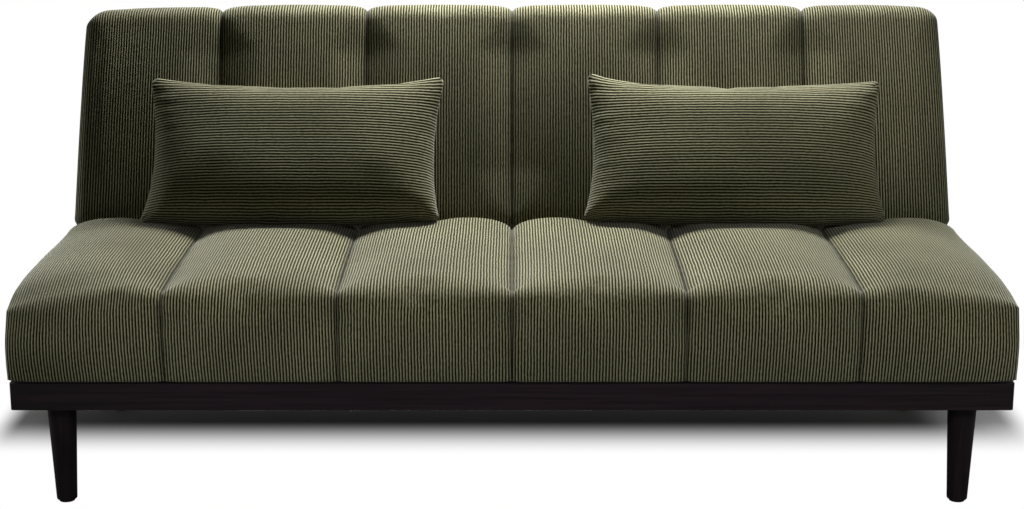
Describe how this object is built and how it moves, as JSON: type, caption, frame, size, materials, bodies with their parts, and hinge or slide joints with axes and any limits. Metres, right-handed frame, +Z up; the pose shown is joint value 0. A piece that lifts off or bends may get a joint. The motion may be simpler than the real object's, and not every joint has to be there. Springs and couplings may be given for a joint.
{
  "type": "futon sofa bed",
  "caption": "Armless convertible futon sofa bed with channelled corduroy seat and folding back, loose lumbar pillows, dark wood base rail and round tapered legs.",
  "frame": {"origin": "on the floor under the middle of the overall box, in the sofa position", "axes": "+Z up, +X to the right of a person standing in front and looking at the seat, front of the seat faces -Y"},
  "size_m": [1.91, 0.875, 0.8756],
  "materials": {
    "espresso_wood": "satin stain",
    "pale_wood": "sawn",
    "zinc_steel": "zinc plated",
    "black_steel": "satin powder coat",
    "glide_plastic": "moulded",
    "olive_corduroy": "ribbed pile",
    "pillow_corduroy": "ribbed pile",
    "dust_cloth": "non-woven",
    "foam": "open cell foam",
    "fibre_fill": "loose fibre",
    "webbing": "woven elastic"
  },
  "bodies": {
    "base": {"front_rail": "espresso_wood", "rear_rail": "espresso_wood", "left_rail": "espresso_wood", "right_rail": "espresso_wood", "cross_rails_left": "pale_wood", "cross_rails_right": "pale_wood", "rail_dowels": "pale_wood", "leg_blocks": "pale_wood", "block_screws": "zinc_steel", "leg_front_left": "espresso_wood", "leg_front_right": "espresso_wood", "leg_rear_left": "espresso_wood", "leg_rear_right": "espresso_wood", "leg_bolts": "zinc_steel", "leg_glides": "glide_plastic", "dust_cloth": "dust_cloth", "seat_frame_front": "pale_wood", "seat_frame_rear": "pale_wood", "seat_frame_left": "pale_wood", "seat_frame_right": "pale_wood", "seat_frame_centre": "pale_wood", "seat_bolts": "zinc_steel", "seat_springs": "zinc_steel", "spring_clips": "zinc_steel", "seat_foam": "foam", "seat_cover": "olive_corduroy", "hinge_plate_left": "black_steel", "hinge_plate_right": "black_steel", "hinge_pin_left": "zinc_steel", "hinge_pin_right": "zinc_steel", "hinge_washers": "zinc_steel", "pawl_pins": "zinc_steel", "pawl_springs": "zinc_steel", "hinge_plate_bolts": "zinc_steel"},
    "backrest": {"hinge_arm_left": "black_steel", "hinge_arm_right": "black_steel", "hinge_arm_bolts": "zinc_steel", "back_frame_left": "pale_wood", "back_frame_right": "pale_wood", "back_frame_bottom": "pale_wood", "back_frame_top": "pale_wood", "back_frame_stiles": "pale_wood", "back_webbing": "webbing", "back_foam": "foam", "back_cover": "olive_corduroy", "back_panel": "olive_corduroy"},
    "pawl_left": {"pawl_left": "zinc_steel"},
    "pawl_right": {"pawl_right": "zinc_steel"},
    "pillow_left": {"pillow_cover_left": "pillow_corduroy", "pillow_insert_left": "fibre_fill"},
    "pillow_right": {"pillow_cover_right": "pillow_corduroy", "pillow_insert_right": "fibre_fill"}
  },
  "joints": [
    {"name": "back_recline", "type": "hinge", "parent": "base", "child": "backrest", "pos_m": [0, 0.16548, 0.408], "axis": [-1, 0, 0], "range_deg": [0, 69]},
    {"name": "pawl_left_turn", "type": "hinge", "parent": "base", "child": "pawl_left", "pos_m": [-0.905, 0.14448, 0.376], "axis": [1, 0, 0], "range_deg": [-7, 0]},
    {"name": "pawl_right_turn", "type": "hinge", "parent": "base", "child": "pawl_right", "pos_m": [0.905, 0.14448, 0.376], "axis": [1, 0, 0], "range_deg": [-7, 0]},
    {"name": "pillow_left_lift", "type": "slide", "parent": "backrest", "child": "pillow_left", "axis": [0, -0.9336, 0.3584], "range_m": [0, 0.4]},
    {"name": "pillow_right_lift", "type": "slide", "parent": "backrest", "child": "pillow_right", "axis": [0, -0.9336, 0.3584], "range_m": [0, 0.4]}
  ],
  "couplings": [
    {"joint": "pawl_right_turn", "follows": "pawl_left_turn", "ratio": 1}
  ]
}
